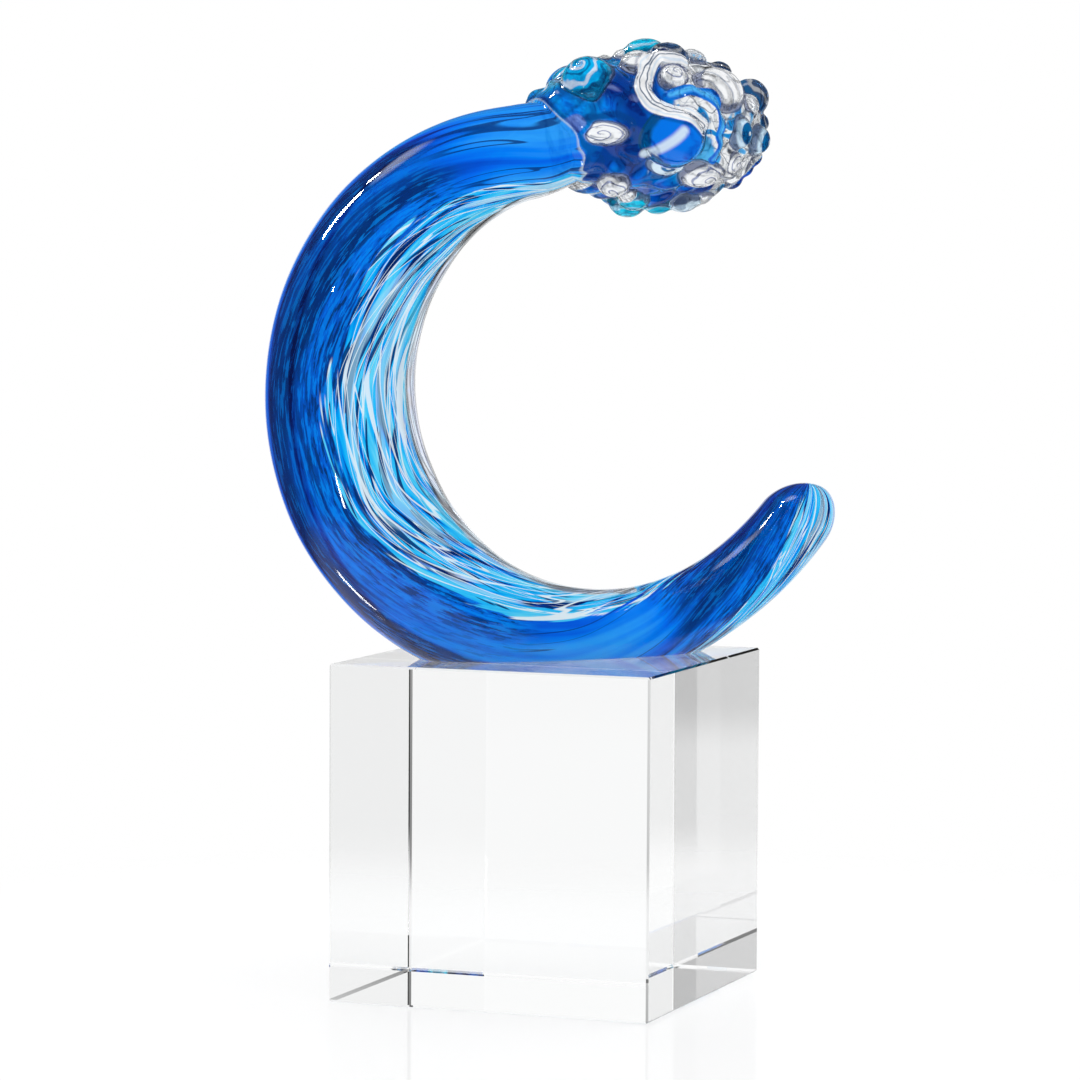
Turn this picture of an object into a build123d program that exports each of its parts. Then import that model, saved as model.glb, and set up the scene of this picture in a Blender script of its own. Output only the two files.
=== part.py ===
from build123d import *
import os
from math import cos, radians, sin, sqrt

# A breaking wave of hot-worked art glass on a polished cube of clear crystal.
# The wave is one solid curl that lies in the XZ plane and opens towards +X. Its lowest
# point is ground flat and bonded to the cube, which is turned so that the curl runs
# along the diagonal of its top. The crest is a second gather of glass, cobalt inside
# and clear at its nose, covered with small bits of clear glass that stand for froth.
# Origin: middle of the cube's underside. +Z is up, and -Y is the side usually seen.

# Cube, millimetres
cube_side = 100.0
cube_arris = 0.6
cube_turn_angle = 45.0
bond_thickness = 0.15

# Curl: its centre line is a spiral that opens from the crest to the tail
curl_start_radius = 65.1
curl_growth = 26.8
curl_growth_power_share = 1.8
curl_centre_offset = 2.0
curl_start_angle = 101.0
curl_end_angle = 329.0
foot_angle = 270.0
foot_ground_depth = 11.0

# Curl section: an ellipse, widest at the back of the curl
curl_half_width = 22.5
curl_half_depth = 21.0
tail_tip_length = 12.5
neck_length_in_crest = 9.5

# Angle along the curl, then half width and half depth as shares of the widest
curl_angles = [101.0, 122.0, 143.0, 165.0, 190.0, 212.0, 234.0, 256.0, 276.0, 293.0, 309.0, 329.0]
curl_width_shares = [0.63, 0.75, 0.87, 0.95, 0.995, 1.0, 0.925, 0.80, 0.68, 0.575, 0.52, 0.52]
curl_depth_shares = [0.67, 0.80, 0.92, 0.98, 1.0, 1.0, 0.98, 0.92, 0.83, 0.74, 0.68, 0.66]

# Cobalt glass covers one side of the curl. Its middle turns round the section as the
# curl runs: 0 faces the inside of the curl, 90 the front and 180 the outside.
cobalt_facing_angles = [112.0, 136.0, 158.0, 178.0, 190.0, 188.0, 163.0, 143.0, 118.0, 84.0, 52.0, 18.0]

# Where the layers meet, as shares of the section's reach on the cobalt's side: cobalt
# lies above the first, streaked turquoise between the two and clear glass below
cobalt_floor_share = 0.38
turquoise_floor_share = -0.30

# Crest: a gather on the end of the curl, each form an ellipse turned about its own axis.
# The collar laps back over the neck in a lip that leans over it, highest at the back, and
# the cobalt inside leans the same way and ends in a nose.
crest_half_length = 35.5
crest_half_width = 22.5
neck_to_crest_end = 7.5
collar_half_length = 23.5
collar_half_width = 17.5
collar_reach_back = 6.0
cobalt_nose_half_length = 27.0
cobalt_nose_half_width = 21.0
cobalt_nose_cover = 23.5
crest_lean_angle = 14.0

# Froth beads: place along the crest from -1 (curl) to 1 (nose), angle round it from the
# top towards the front, then the radius as a share of the plain bead's
bead_radius = 4.0
front_bead_shares = [
    (-0.66, -8.0, 1.50),
    (-0.40, -5.0, 0.57),
    (-0.24, 2.0, 0.60),
    (-0.03, -14.0, 1.43),
    (-0.22, 24.0, 0.82),
    (0.12, 16.0, 1.00),
    (0.02, 47.0, 1.17),
    (0.34, 2.0, 0.88),
    (0.62, 14.0, 0.88),
    (0.84, 32.0, 1.20),
    (0.94, 78.0, 0.70),
    (0.58, 84.0, 0.80),
    (0.86, 108.0, 0.89),
    (0.86, 146.0, 0.75),
    (0.57, 122.0, 0.80),
    (0.64, 160.0, 0.89),
    (0.42, 178.0, 0.82),
    (0.24, 160.0, 0.95),
    (0.04, 176.0, 0.91),
    (-0.20, 162.0, 0.88),
    (-0.48, 140.0, 0.89),
    (-0.12, 96.0, 1.95),
    (-0.12, 128.0, 1.12),
    (0.24, 124.0, 1.03),
    (0.38, 54.0, 1.37),
]
back_bead_count = 15
back_bead_size_shares = [1.20, 0.75, 1.00, 0.65, 1.35, 0.85]
back_bead_first_share = -0.62
back_bead_last_share = 0.90
back_bead_angles = [205.0, 262.0, 318.0]
bead_sink_share = 0.22
bead_stretch_share = 1.15


def unit(x, z):
    length = sqrt(x * x + z * z)
    return (x / length, z / length)


def interpolate(angle, table):
    """Value of a station table at an angle along the curl, straight between stations."""
    for i in range(len(curl_angles) - 1):
        low, high = curl_angles[i], curl_angles[i + 1]
        if angle <= high:
            part = (angle - low) / (high - low)
            return table[i] + part * (table[i + 1] - table[i])
    return table[-1]


def spiral_radius(angle):
    travel = max(angle - curl_start_angle, 0.0) / (curl_end_angle - curl_start_angle)
    return curl_start_radius + curl_growth * travel ** curl_growth_power_share


# The curl's centre stands so high that grinding the foot takes off foot_ground_depth
foot_height = cube_side + bond_thickness
foot_half_width = curl_half_width * interpolate(foot_angle, curl_width_shares)
curl_centre_x = curl_centre_offset
curl_centre_z = foot_height + spiral_radius(foot_angle) + foot_half_width - foot_ground_depth


def curl_point(angle):
    r = spiral_radius(angle)
    return (curl_centre_x + r * cos(radians(angle)), curl_centre_z + r * sin(radians(angle)))


def curl_plane(angle, step=0.5):
    """Section plane: local x faces the inside of the curl, local y the front."""
    x, z = curl_point(angle)
    before, after = curl_point(angle - step), curl_point(angle + step)
    tx, tz = unit(after[0] - before[0], after[1] - before[1])
    return Plane(origin=(x, 0, z), x_dir=(-tz, 0, tx), z_dir=(tx, 0, tz))


def section_sizes(angle):
    return (
        curl_half_width * interpolate(angle, curl_width_shares),
        curl_half_depth * interpolate(angle, curl_depth_shares),
    )


def along(plane, distance):
    """The plane moved along its own normal."""
    return plane.offset(distance)


# Stations along the curl, from inside the crest to where the tail's tip begins
neck_plane = curl_plane(curl_angles[0])
neck_overlap = neck_to_crest_end + neck_length_in_crest
station_planes = [along(neck_plane, -neck_overlap)] + [curl_plane(a) for a in curl_angles]
station_angles = [curl_angles[0]] + curl_angles
tail_plane = station_planes[-1]


def ellipsoid(place, half_x, half_y, half_z):
    return place * scale(Sphere(1), by=(half_x, half_y, half_z))


def turned_ellipse(place, half_length, half_width):
    """An ellipse turned about the local x axis of its place."""
    arc = EllipticalCenterArc((0, 0), half_length, half_width, arc_size=180)
    half = make_face([arc, Line(arc @ 1, arc @ 0)])
    return place * revolve(half, Axis.X)


def make_curl():
    """The whole curl, before it is parted into its three colours of glass."""
    sections = [
        plane * Ellipse(*section_sizes(angle))
        for plane, angle in zip(station_planes, station_angles)
    ]
    tip = ellipsoid(tail_plane, *section_sizes(curl_angles[-1]), tail_tip_length)
    return loft(sections) + tip


def under_foot():
    """Everything below the plane that the foot is ground to."""
    reach = 2 * (spiral_radius(curl_end_angle) + curl_half_width)
    block = Box(reach, reach, reach, align=(Align.CENTER, Align.CENTER, Align.MAX))
    return Pos(0, 0, foot_height) * block


def make_layer_bar(floor_share):
    """A twisted bar that holds one side of the curl, down to a share of its reach."""
    big = 2 * curl_half_width
    planes = station_planes + [along(tail_plane, 2 * tail_tip_length)]
    angles = station_angles + [curl_angles[-1]]
    facings = cobalt_facing_angles[:1] + cobalt_facing_angles + cobalt_facing_angles[-1:]
    bars = []
    for plane, angle, facing in zip(planes, angles, facings):
        half_width, half_depth = section_sizes(angle)
        c, s = cos(radians(facing)), sin(radians(facing))
        floor = floor_share * sqrt((half_width * c) ** 2 + (half_depth * s) ** 2)
        bars.append(plane * Rot(0, 0, facing) * Pos(floor + big / 2, 0) * Rectangle(big, 2 * big))
    return loft(bars)


def make_crest(centre):
    """The crest gather, the collar that laps back over the curl, and the cobalt's nose."""
    x, z = centre
    lean = Rot(0, crest_lean_angle, 0)
    body = turned_ellipse(Pos(x, 0, z), crest_half_length, crest_half_width)
    collar_place = Pos(x - crest_half_length - collar_reach_back + collar_half_length, 0, z) * lean
    collar = turned_ellipse(collar_place, collar_half_length, collar_half_width)
    nose_place = Pos(x + crest_half_length - cobalt_nose_cover - cobalt_nose_half_length, 0, z) * lean
    nose = turned_ellipse(nose_place, cobalt_nose_half_length, cobalt_nose_half_width)
    return body, collar, nose


def bead_place(centre, share, around):
    """Plane on the crest's surface, its normal facing out and local x along the crest."""
    x, z = centre
    ring = sqrt(1 - share * share)
    up, front = cos(radians(around)), sin(radians(around))
    point = Vector(
        x + crest_half_length * share,
        -crest_half_width * ring * front,
        z + crest_half_width * ring * up,
    )
    normal = Vector(
        share / crest_half_length,
        -ring * front / crest_half_width,
        ring * up / crest_half_width,
    ).normalized()
    lengthwise = Vector(ring, share * front, -share * up)
    return Plane(origin=point, x_dir=lengthwise, z_dir=normal)


def make_bead(centre, row):
    share, around, size = row
    radius = bead_radius * size
    place = bead_place(centre, share, around).offset(-bead_sink_share * radius)
    return ellipsoid(place, radius * bead_stretch_share, radius, radius)


def boxes_meet(one, other):
    """Whether the boxes round two solids overlap."""
    a, b = one.bounding_box(), other.bounding_box()
    return all(
        low < high
        for low, high in (
            (max(a.min.X, b.min.X), min(a.max.X, b.max.X)),
            (max(a.min.Y, b.min.Y), min(a.max.Y, b.max.Y)),
            (max(a.min.Z, b.min.Z), min(a.max.Z, b.max.Z)),
        )
    )


def cut_by_all(solid, others):
    for other in others:
        if boxes_meet(solid, other):
            solid = solid - other
    return solid


def bead_rows():
    """The beads seen from the front, then rows of them round the back."""
    rows = list(front_bead_shares)
    span = back_bead_last_share - back_bead_first_share
    for i in range(back_bead_count):
        share = back_bead_first_share + span * i / (back_bead_count - 1)
        around = back_bead_angles[i % len(back_bead_angles)]
        size = back_bead_size_shares[i % len(back_bead_size_shares)]
        rows.append((share, around, size))
    return rows


def write(name, shape):
    export_step(shape, f"parts/{name}.step")


os.makedirs("parts", exist_ok=True)

# Base
cube = Box(cube_side, cube_side, cube_side, align=(Align.CENTER, Align.CENTER, Align.MIN))
cube = Rot(0, 0, cube_turn_angle) * chamfer(cube.edges(), cube_arris)
write("base_cube", cube)

# Curl
curl = make_curl() - under_foot()
foot_face = curl.faces().sort_by(Axis.Z)[0]
write("bond_film", extrude(foot_face, amount=bond_thickness, dir=(0, 0, -1)))
cobalt_bar = make_layer_bar(cobalt_floor_share)
turquoise_bar = make_layer_bar(turquoise_floor_share)
below_cobalt = curl - cobalt_bar
write("curl_cobalt", curl & cobalt_bar)
write("curl_turquoise", below_cobalt & turquoise_bar)
write("curl_clear", below_cobalt - turquoise_bar)

# Crest
neck = neck_plane.origin
ahead = -neck_plane.z_dir
crest_reach = neck_to_crest_end + crest_half_length
crest_centre = (neck.X + crest_reach * ahead.X, neck.Z + crest_reach * ahead.Z)
body, collar, nose = make_crest(crest_centre)
crest = body + collar - curl
write("crest_cobalt", crest & nose)
write("crest_clear", crest - nose)

# Froth
neck_section = neck_plane * Ellipse(*section_sizes(curl_angles[0]))
neck_stub = extrude(neck_section, amount=neck_overlap, both=True)
beads = []
for row in bead_rows():
    bead = make_bead(crest_centre, row)
    beads.append(cut_by_all(bead, [body, collar, neck_stub] + beads))
for i, bead in enumerate(beads):
    write(f"froth_bead_{i + 1:02d}", bead)
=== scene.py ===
import math
import bpy
import numpy as np
from mathutils import Matrix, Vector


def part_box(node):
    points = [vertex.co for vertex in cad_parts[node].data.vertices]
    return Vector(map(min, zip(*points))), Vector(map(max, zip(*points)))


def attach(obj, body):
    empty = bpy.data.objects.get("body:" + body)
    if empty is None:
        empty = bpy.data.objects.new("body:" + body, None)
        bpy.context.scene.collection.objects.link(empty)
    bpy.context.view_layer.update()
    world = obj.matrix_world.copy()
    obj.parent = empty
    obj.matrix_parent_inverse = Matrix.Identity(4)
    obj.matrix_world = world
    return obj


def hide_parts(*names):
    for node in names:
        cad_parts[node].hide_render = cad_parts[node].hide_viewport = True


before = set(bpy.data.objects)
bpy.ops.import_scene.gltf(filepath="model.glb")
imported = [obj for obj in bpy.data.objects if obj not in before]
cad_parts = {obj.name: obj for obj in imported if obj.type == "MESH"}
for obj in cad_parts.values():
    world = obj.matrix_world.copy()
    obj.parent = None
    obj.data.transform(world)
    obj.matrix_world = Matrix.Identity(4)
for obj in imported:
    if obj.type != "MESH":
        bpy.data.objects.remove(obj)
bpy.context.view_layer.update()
print("frame loaded")

scene = bpy.context.scene
scene.view_settings.view_transform = "Standard"
mm = 0.001

# All places come from the cube's own box. Angles along the wave are seen from the front (-Y),
# anticlockwise from +X.
cubeLow, cubeHigh = (np.array(corner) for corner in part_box("base_cube"))
cubeTop = float(cubeHigh[2])


# Node helpers
# One shader socket whose operators add Math nodes.
class Sock:

    def __init__(self, tree, socket):
        self.tree, self.socket = tree, socket

    def math(self, operation, *others):
        return self.tree.add("ShaderNodeMath", {"operation": operation}, [self, *others])

    def __add__(self, other):
        return self.math("ADD", other)

    def __sub__(self, other):
        return self.math("SUBTRACT", other)

    def __mul__(self, other):
        return self.math("MULTIPLY", other)

    def __pow__(self, other):
        return self.math("POWER", other)

    def __radd__(self, other):
        return self.math("ADD", other)

    def __rmul__(self, other):
        return self.math("MULTIPLY", other)

    def __rsub__(self, other):
        return self.tree.add("ShaderNodeMath", {"operation": "SUBTRACT"}, [other, self])

    def __abs__(self):
        return self.math("ABSOLUTE")

    def most(self, other):
        return self.math("MAXIMUM", other)

    def sine(self):
        return self.math("SINE")

    # 0 below low, 1 above high, smooth between them.
    def band(self, low, high):
        settings = {"interpolation_type": "SMOOTHSTEP", "clamp": True}
        values = {"Value": self, "From Min": low, "From Max": high}
        return self.tree.add("ShaderNodeMapRange", settings, values)


# A node tree and the few ways that nodes are added to it.
class Tree:

    def __init__(self, nodeTree):
        self.nodes, self.links = nodeTree.nodes, nodeTree.links
        self.nodes.clear()

    def add(self, kind, settings=None, values=None, output=0):
        node = self.nodes.new(kind)
        for name, value in (settings or {}).items():
            if name == "stops":
                self.fillRamp(node.color_ramp, value)
            else:
                setattr(node, name, value)
        pairs = values.items() if isinstance(values, dict) else enumerate(values or [])
        for name, value in pairs:
            socket = node.inputs[name]
            if isinstance(value, Sock):
                self.links.new(value.socket, socket)
            elif value is not None:
                socket.default_value = value
        return Sock(self, node.outputs[output])

    def fillRamp(self, ramp, stops):
        while len(ramp.elements) < len(stops):
            ramp.elements.new(1.0)
        for element, (place, colour) in zip(ramp.elements, stops):
            element.position = place
            element.color = (*colour, 1.0)

    def ramp(self, value, stops):
        return self.add("ShaderNodeValToRGB", {"stops": stops}, [value])

    # Mix of two colours, which are tuples or sockets.
    def blend(self, factor, first, second):
        settings = {"data_type": "RGBA", "clamp_factor": True}
        ends = [c if isinstance(c, Sock) else (*c, 1.0) for c in (first, second)]
        return self.add("ShaderNodeMix", settings, {0: factor, 6: ends[0], 7: ends[1]}, output=2)

    def attribute(self, name):
        return self.add("ShaderNodeAttribute", {"attribute_name": name}, output="Fac")

    def attributes(self, *names):
        return [self.attribute(name) for name in names]

    def combine(self, x, y, z):
        return self.add("ShaderNodeCombineXYZ", None, [x, y, z])

    def noise(self, vector, scale, detail=2.0, roughness=0.5, distortion=0.0):
        return self.add("ShaderNodeTexNoise", {"noise_dimensions": "3D"}, {
            "Vector": vector, "Scale": scale, "Detail": detail,
            "Roughness": roughness, "Distortion": distortion})

    def objectPlace(self):
        return self.add("ShaderNodeTexCoord", output="Object")

    def ray(self, kind):
        return self.add("ShaderNodeLightPath", output=kind)


def newMaterial(name):
    material = bpy.data.materials.new(name)
    material.use_nodes = True
    return material, Tree(material.node_tree)


def glassShader(tree, colour, ior, normal=None):
    return tree.add("ShaderNodeBsdfPrincipled", None, {
        "Base Color": colour, "Roughness": 0.0, "IOR": ior, "Transmission Weight": 1.0, "Normal": normal})


def surfaceOutput(tree, shader, kind="ShaderNodeOutputMaterial"):
    tree.links.new(shader.socket, tree.nodes.new(kind).inputs["Surface"])


# Mesh helpers
# Each field becomes an attribute of the mesh, one number to a point.
def setFields(mesh, fields):
    for field, values in fields.items():
        attribute = mesh.attributes.new(field, "FLOAT", "POINT")
        attribute.data.foreach_set("value", np.asarray(values, dtype=np.float32))


def smoothShaded(mesh):
    mesh.polygons.foreach_set("use_smooth", np.full(len(mesh.polygons), True))


def newPiece(name, points, faces, material=None):
    mesh = bpy.data.meshes.new(name)
    mesh.from_pydata(points.tolist(), [], faces)
    mesh.materials.append(material)
    piece = bpy.data.objects.new(name, mesh)
    scene.collection.objects.link(piece)
    return piece


# A piece's mesh once its modifiers are applied.
def finishedMesh(piece):
    graph = bpy.context.evaluated_depsgraph_get()
    return bpy.data.meshes.new_from_object(piece.evaluated_get(graph))


# One field of all of a mesh's points, edges or corners as an array.
def meshArray(items, field, width, kind=float):
    values = np.empty(len(items) * width, dtype=kind)
    items.foreach_get(field, values)
    return values.reshape(-1, width)


# The x, y and z axes of a camera or lamp, and its place.
def setAxes(piece, right, up, back, place):
    columns = np.eye(4)
    columns[:3] = np.stack([right, up, back, place], -1)
    piece.matrix_world = Matrix(columns.tolist())


# Quads of a grid that closes round its columns, and the triangles of a fan at each end, whose
# two middle points come after the grid's own.
def tubeFaces(rows, columns):
    i, j = np.meshgrid(np.arange(rows - 1), np.arange(columns), indexing="ij")
    k = (j + 1) % columns
    corners = [i * columns + j, i * columns + k, (i + 1) * columns + k, (i + 1) * columns + j]
    ring = np.arange(columns)
    after = (ring + 1) % columns
    middle, base = np.full(columns, rows * columns), (rows - 1) * columns
    start = np.stack([middle, after, ring], -1)
    end = np.stack([middle + 1, base + ring, base + after], -1)
    return np.stack(corners, -1).reshape(-1, 4), np.concatenate([start, end])


# Closed shapes, each its points and its arrays of faces, as one list of points and faces.
def together(*shapes):
    faces, offset = [], 0
    for points, *arrays in shapes:
        for array in arrays:
            faces += (array + offset).tolist()
        offset += len(points)
    return np.concatenate([points for points, *_ in shapes]), faces


# A row of numbers averaged with a bell as wide as that many steps.
def smoothed(values, width):
    window = np.hanning(width + 2)[1:-1]
    padded = np.pad(values, width // 2, mode="edge")
    return np.convolve(padded, window / window.sum(), mode="valid")[: len(values)]


# Curl
curl = {
    "centreX": 2.0 * mm,
    "centreAboveCube": 86.0 * mm,
    "startAngle": 101.0,
    "endAngle": 329.0,
    "startRadius": 65.1 * mm,
    "growth": 26.8 * mm,
    "growthPower": 1.8,
    "neckOverlap": 25.0 * mm,  # how far the neck runs into the crest
    "neckTaper": 0.40,  # how much narrower it ends in there
    "tipLength": 12.5 * mm,
    "tipLean": 3.2 * mm,  # how far the tip's end is drawn outwards
    "tipTaper": 0.24,  # how much narrower the tip's end is
    "footSink": 0.05 * mm,  # the bonded foot has no air under it
    "angles": [101, 122, 143, 165, 190, 212, 234, 256, 276, 293, 309, 329],
    "halfWidths": [14.2, 16.9, 19.6, 21.4, 22.4, 22.5, 20.8, 18.0, 15.3, 12.9, 11.7, 11.9],
    "halfDepths": [14.0, 16.8, 19.3, 20.6, 21.0, 21.0, 20.6, 19.3, 17.4, 15.5, 14.3, 13.9],
    "stepsAlong": 340,
    "stepsAround": 112,
    "neckSteps": 14,
    "tipSteps": 32,
    "leanSteps": 100,  # the steps at the end over which the tip leans and narrows
}

# The cobalt side: where its middle faces (0 inside, 90 front, 180 outside) and how far it
# reaches to either side, both in degrees, by angle along the curl
cobaltSide = {
    "angles": [100, 110, 130, 150, 180, 210, 240, 270, 290, 300, 320, 330],
    "facings": [110, 123, 152, 171, 189, 188, 156, 130, 97, 67, 27, 10],
    "reaches": [65, 62, 65, 69, 70, 70, 69, 65, 58, 54, 57, 60],
}

curlLook = {
    # how bright the cobalt shows (0 navy, 1 azure) and how pale its streaks are, likewise
    "angles": [100, 112, 124, 136, 160, 200, 236, 252, 264, 276, 288, 296, 306, 318, 330],
    "glows": [0.98, 0.92, 0.66, 0.40, 0.27, 0.25, 0.28, 0.45, 0.78, 0.92, 0.84, 0.40, 0.22, 0.20, 0.26],
    "pales": [0.95, 0.90, 0.75, 0.55, 0.35, 0.28, 0.34, 0.55, 0.85, 0.90, 0.80, 0.60, 0.45, 0.42, 0.40],
    "clearStrip": 27.0,  # half width of the clear strip inside the curl, in degrees
    "clearStripEnd": 290.0,
    "stripLean": 24.0,  # how far the strip leans to the front on the curl's back, in degrees
    "drift": 5.0,  # how far the two sets of streaks turn round the curl, in radians per metre
    "streakStops": [
        (0.36, (0.0, 0.012, 0.12)),
        (0.385, (0.0, 0.08, 0.50)),
        (0.42, (0.0, 0.24, 0.88)),
        (0.47, (0.0, 0.42, 0.98)),
        (0.56, (0.02, 0.54, 1.0)),
        (0.66, (0.10, 0.68, 1.0)),
    ],
    "slit": (0.0, 0.02, 0.16),
    "paleStreak": (0.38, 0.76, 1.0),
    "paleLine": (0.82, 0.94, 1.0),
    "cobaltStops": [
        (0.0, (0.0, 0.006, 0.11)),
        (0.18, (0.0, 0.022, 0.30)),
        (0.34, (0.0, 0.052, 0.58)),
        (0.50, (0.0, 0.10, 0.84)),
        (0.70, (0.0, 0.19, 0.96)),
        (1.0, (0.01, 0.31, 1.0)),
    ],
    "brightMark": (0.0, 0.16, 0.92),
    "darkMark": (0.0, 0.004, 0.07),
    "darkLine": (0.0, 0.010, 0.14),
    "clear": (0.90, 0.94, 0.97),
    "thread": (0.04, 0.045, 0.06),
}


# The centre line is r = r0 + g t^p, with t from 0 to 1 along the curl. Before its start
# it runs on straight, which is r = r0 / cos of the angle left.
def centreRadius(angle):
    c = curl
    travel = np.clip((angle - c["startAngle"]) / (c["endAngle"] - c["startAngle"]), 0, 1)
    lead = np.radians(np.clip(c["startAngle"] - angle, 0, 70))
    return (c["startRadius"] + c["growth"] * travel ** c["growthPower"]) / np.cos(lead)


# A table's values by angle, with the corners between its rows rounded over 15 degrees.
def sideTable(angle, key, table):
    fine = np.arange(60.0, 361.0)
    values = smoothed(np.interp(fine, table["angles"], table[key]), 15)
    return np.interp(angle, fine, values)


# Half width and half depth of the curl's section at an angle, in metres.
def halfSizes(angle):
    return sideTable(angle, "halfWidths", curl) * mm, sideTable(angle, "halfDepths", curl) * mm


# A tube on the spiral: an ellipse at each row, with a rounded tip where the section
# shrinks as an ellipse does, and ground flat where it meets the cube.
def curlShape():
    c = curl
    turn = np.radians(np.linspace(c["startAngle"], c["endAngle"], c["stepsAlong"]))
    radius = centreRadius(np.degrees(turn))
    upFromCube = cubeTop + c["centreAboveCube"] + radius * np.sin(turn)
    line = np.stack([c["centreX"] + radius * np.cos(turn), upFromCube], -1)
    tangent = np.gradient(line, axis=0)
    tangent /= np.linalg.norm(tangent, axis=1, keepdims=True)
    halfWidth, halfDepth = halfSizes(np.degrees(turn))

    # straight on into the crest, and on to the tip
    lead = np.linspace(c["neckOverlap"], 0.0, c["neckSteps"], endpoint=False)[:, None]
    share = np.sin(np.linspace(0.0, math.pi / 2, c["tipSteps"] + 2)[1:-1])[:, None]
    neck, tip = line[:1] - lead * tangent[:1], line[-1:] + share * c["tipLength"] * tangent[-1:]
    line = np.concatenate([neck, line, tip])
    rows = len(line)
    added = (len(neck), len(tip))
    shrink = np.pad(np.sqrt(1 - share[:, 0] ** 2), (rows - len(tip), 0), constant_values=1.0)
    shrink[: len(neck)] = 1 - c["neckTaper"] * (lead[:, 0] / c["neckOverlap"]) ** 2
    tangent = np.pad(tangent, [added, (0, 0)], mode="edge")
    halfWidth = np.pad(halfWidth, added, mode="edge") * shrink
    halfDepth = np.pad(halfDepth, added, mode="edge") * shrink
    leanSteps = c["leanSteps"]
    toTip = np.clip((np.arange(rows) - (rows - leanSteps)) / leanSteps, 0, 1) ** 2
    halfWidth = halfWidth * (1 - c["tipTaper"] * toTip)

    psi = np.linspace(0.0, 2 * math.pi, c["stepsAround"], endpoint=False)
    nothing = np.zeros(rows)
    inner = np.stack([-tangent[:, 1], nothing, tangent[:, 0]], -1)
    front = np.array([0.0, -1.0, 0.0])
    centre = np.stack([line[:, 0], nothing, line[:, 1]], -1)
    points = (
        centre[:, None, :]
        + (halfWidth[:, None] * np.cos(psi))[..., None] * inner[:, None, :]
        + (halfDepth[:, None] * np.sin(psi))[..., None] * front
    )
    lean = toTip * c["tipLean"]
    points[..., 0] += lean[:, None]
    centre[:, 0] += lean
    ends = np.stack([centre[0], centre[-1] + (centre[-1] - centre[-2]) * 0.5])
    points = np.concatenate([points.reshape(-1, 3), ends])
    points[:, 2] = np.maximum(points[:, 2], cubeTop - c["footSink"])
    return together((points, *tubeFaces(rows, c["stepsAround"])))


# An angle in radians brought between -pi and pi.
def wrapped(angle):
    return (angle + math.pi) % (2 * math.pi) - math.pi


# Where each point lies on the curl, worked out from its place alone: the way along it,
# the turn round the section from the middle of the cobalt, and whether it is crest.
def curlFields(points):
    x = points[:, 0] - curl["centreX"]
    z = points[:, 2] - cubeTop - curl["centreAboveCube"]
    angle = np.degrees(np.arctan2(z, x))
    angle = np.where(angle < 45, angle + 360, angle)  # it wraps in the open side of the curl
    halfWidth, halfDepth = halfSizes(angle)
    inward = (centreRadius(angle) - np.hypot(x, z)) / halfWidth
    frontward = -points[:, 1] / halfDepth
    beyond = np.hypot(inward, frontward)
    psi = np.arctan2(frontward, inward)
    turn = wrapped(psi - np.radians(sideTable(angle, "facings", cobaltSide)))
    reach = np.radians(sideTable(angle, "reaches", cobaltSide))
    fine = np.arange(60.0, 361.0)
    length = np.concatenate([[0.0], np.cumsum(np.radians(1.0) * centreRadius(fine))[:-1]])
    along = np.interp(angle, fine, length)
    drift = curlLook["drift"] * along

    onNeck = angle < crest["lastAngle"]
    outside = np.clip((beyond - crest["skinReach"]) / 0.05, 0, 1)
    ahead = points[:, 0] > crest["centre"][0] - crest["allCrest"]
    stripEnd = np.clip((angle - curlLook["clearStripEnd"]) / 10, 0, 1)
    fromStrip = np.abs(wrapped(psi + math.radians(curlLook["stripLean"]) * np.cos(np.radians(angle))))
    return {
        "along": along,
        "turnCos": np.cos(turn),
        "turnSin": np.sin(turn),
        "leftCos": np.cos(turn + drift),
        "leftSin": np.sin(turn + drift),
        "rightCos": np.cos(turn - drift),
        "rightSin": np.sin(turn - drift),
        "edge": np.abs(turn) - reach,  # below 0 in the cobalt
        "inner": fromStrip - math.radians(curlLook["clearStrip"]) + 2 * stripEnd,  # below 0 in the strip
        "outer": math.pi - fromStrip,  # 0 along the outside of the curl
        "glow": sideTable(angle, "glows", curlLook),
        "pale": sideTable(angle, "pales", curlLook),
        "crest": np.clip(outside * onNeck + ahead * onNeck, 0, 1),
        "lip": np.where(onNeck, np.clip(beyond, 0, 2), 0),
    }


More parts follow.
